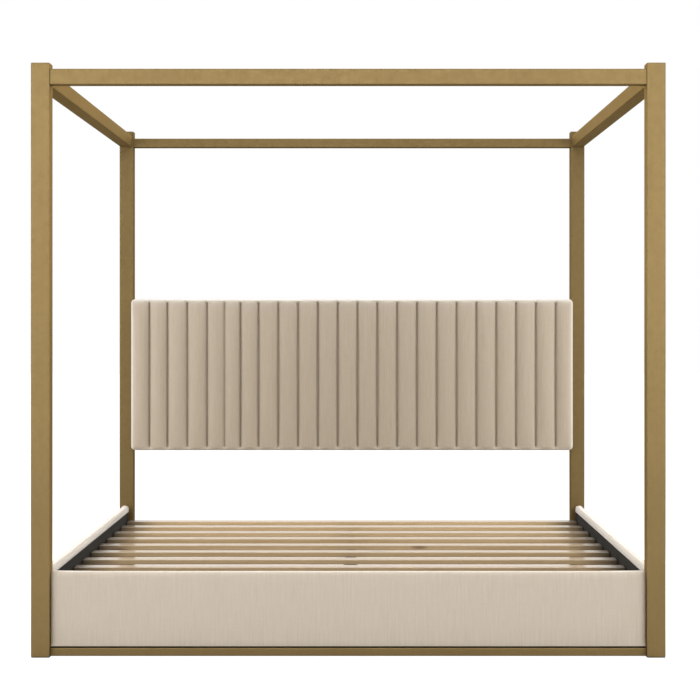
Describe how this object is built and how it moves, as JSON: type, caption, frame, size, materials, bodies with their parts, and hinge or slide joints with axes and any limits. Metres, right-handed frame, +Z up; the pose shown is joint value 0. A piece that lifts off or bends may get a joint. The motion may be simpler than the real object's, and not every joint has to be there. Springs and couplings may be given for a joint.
{
  "type": "four poster canopy bed",
  "caption": "Four poster canopy bed with a gold square tube frame, padded side rails, slatted base and a channel tufted floating headboard.",
  "frame": {"origin": "on the floor, under the middle of the bed's footprint over the posts", "axes": "+X to the right seen from the foot, +Y from the foot to the headboard, +Z up"},
  "size_m": [2.032, 2.219, 1.905],
  "materials": {
    "gold_frame": "satin antique gold powder coat",
    "linen": "beige linen-look weave with fine upright slubs",
    "channel_linen": "beige linen-look weave over foam, sewn in upright channels",
    "black_lining": "matt black lining cloth",
    "plywood": "raw sanded plywood",
    "pine": "planed pine, clear satin varnish",
    "black_steel": "black satin powder coat",
    "black_plastic": "moulded, matt"
  },
  "bodies": {
    "bed_frame": {"post_foot_left": "gold_frame", "post_glide_foot_left": "black_plastic", "post_foot_right": "gold_frame", "post_glide_foot_right": "black_plastic", "post_head_left": "gold_frame", "post_glide_head_left": "black_plastic", "post_head_right": "gold_frame", "post_glide_head_right": "black_plastic", "canopy_rail_foot": "gold_frame", "canopy_rail_head": "gold_frame", "canopy_rail_left": "gold_frame", "canopy_rail_right": "gold_frame", "base_rail_foot": "gold_frame", "base_rail_left": "gold_frame", "base_rail_right": "gold_frame", "footboard_pad": "linen", "footboard_board": "plywood", "footboard_lining": "black_lining", "side_rail_left_pad": "linen", "side_rail_left_board": "plywood", "side_rail_left_lining": "black_lining", "side_rail_right_pad": "linen", "side_rail_right_board": "plywood", "side_rail_right_lining": "black_lining", "hook_plate_footboard_left": "black_steel", "hook_plate_footboard_right": "black_steel", "hook_plate_side_rail_left_foot": "black_steel", "hook_plate_side_rail_left_head": "black_steel", "hook_plate_side_rail_right_foot": "black_steel", "hook_plate_side_rail_right_head": "black_steel", "head_cross_rail": "black_steel", "ledger_left": "black_steel", "ledger_right": "black_steel", "centre_beam": "black_steel", "beam_saddle_foot": "black_steel", "beam_saddle_head": "black_steel", "headboard_bracket_left": "black_steel", "headboard_bracket_right": "black_steel", "support_leg_1": "black_steel", "support_leg_2": "black_steel", "support_leg_3": "black_steel", "slat_01": "pine", "slat_02": "pine", "slat_03": "pine", "slat_04": "pine", "slat_05": "pine", "slat_06": "pine", "slat_07": "pine", "slat_08": "pine", "slat_09": "pine", "slat_10": "pine", "headboard_pad": "channel_linen", "headboard_board": "plywood", "headboard_lining": "black_lining"},
    "levelling_foot_1_body": {"levelling_foot_1": "black_plastic"},
    "levelling_foot_2_body": {"levelling_foot_2": "black_plastic"},
    "levelling_foot_3_body": {"levelling_foot_3": "black_plastic"}
  },
  "joints": [
    {"name": "leg_1_levelling", "type": "slide", "parent": "bed_frame", "child": "levelling_foot_1_body", "axis": [0, 0, 1], "range_m": [0, 0.015]},
    {"name": "leg_2_levelling", "type": "slide", "parent": "bed_frame", "child": "levelling_foot_2_body", "axis": [0, 0, 1], "range_m": [0, 0.015]},
    {"name": "leg_3_levelling", "type": "slide", "parent": "bed_frame", "child": "levelling_foot_3_body", "axis": [0, 0, 1], "range_m": [0, 0.015]}
  ]
}
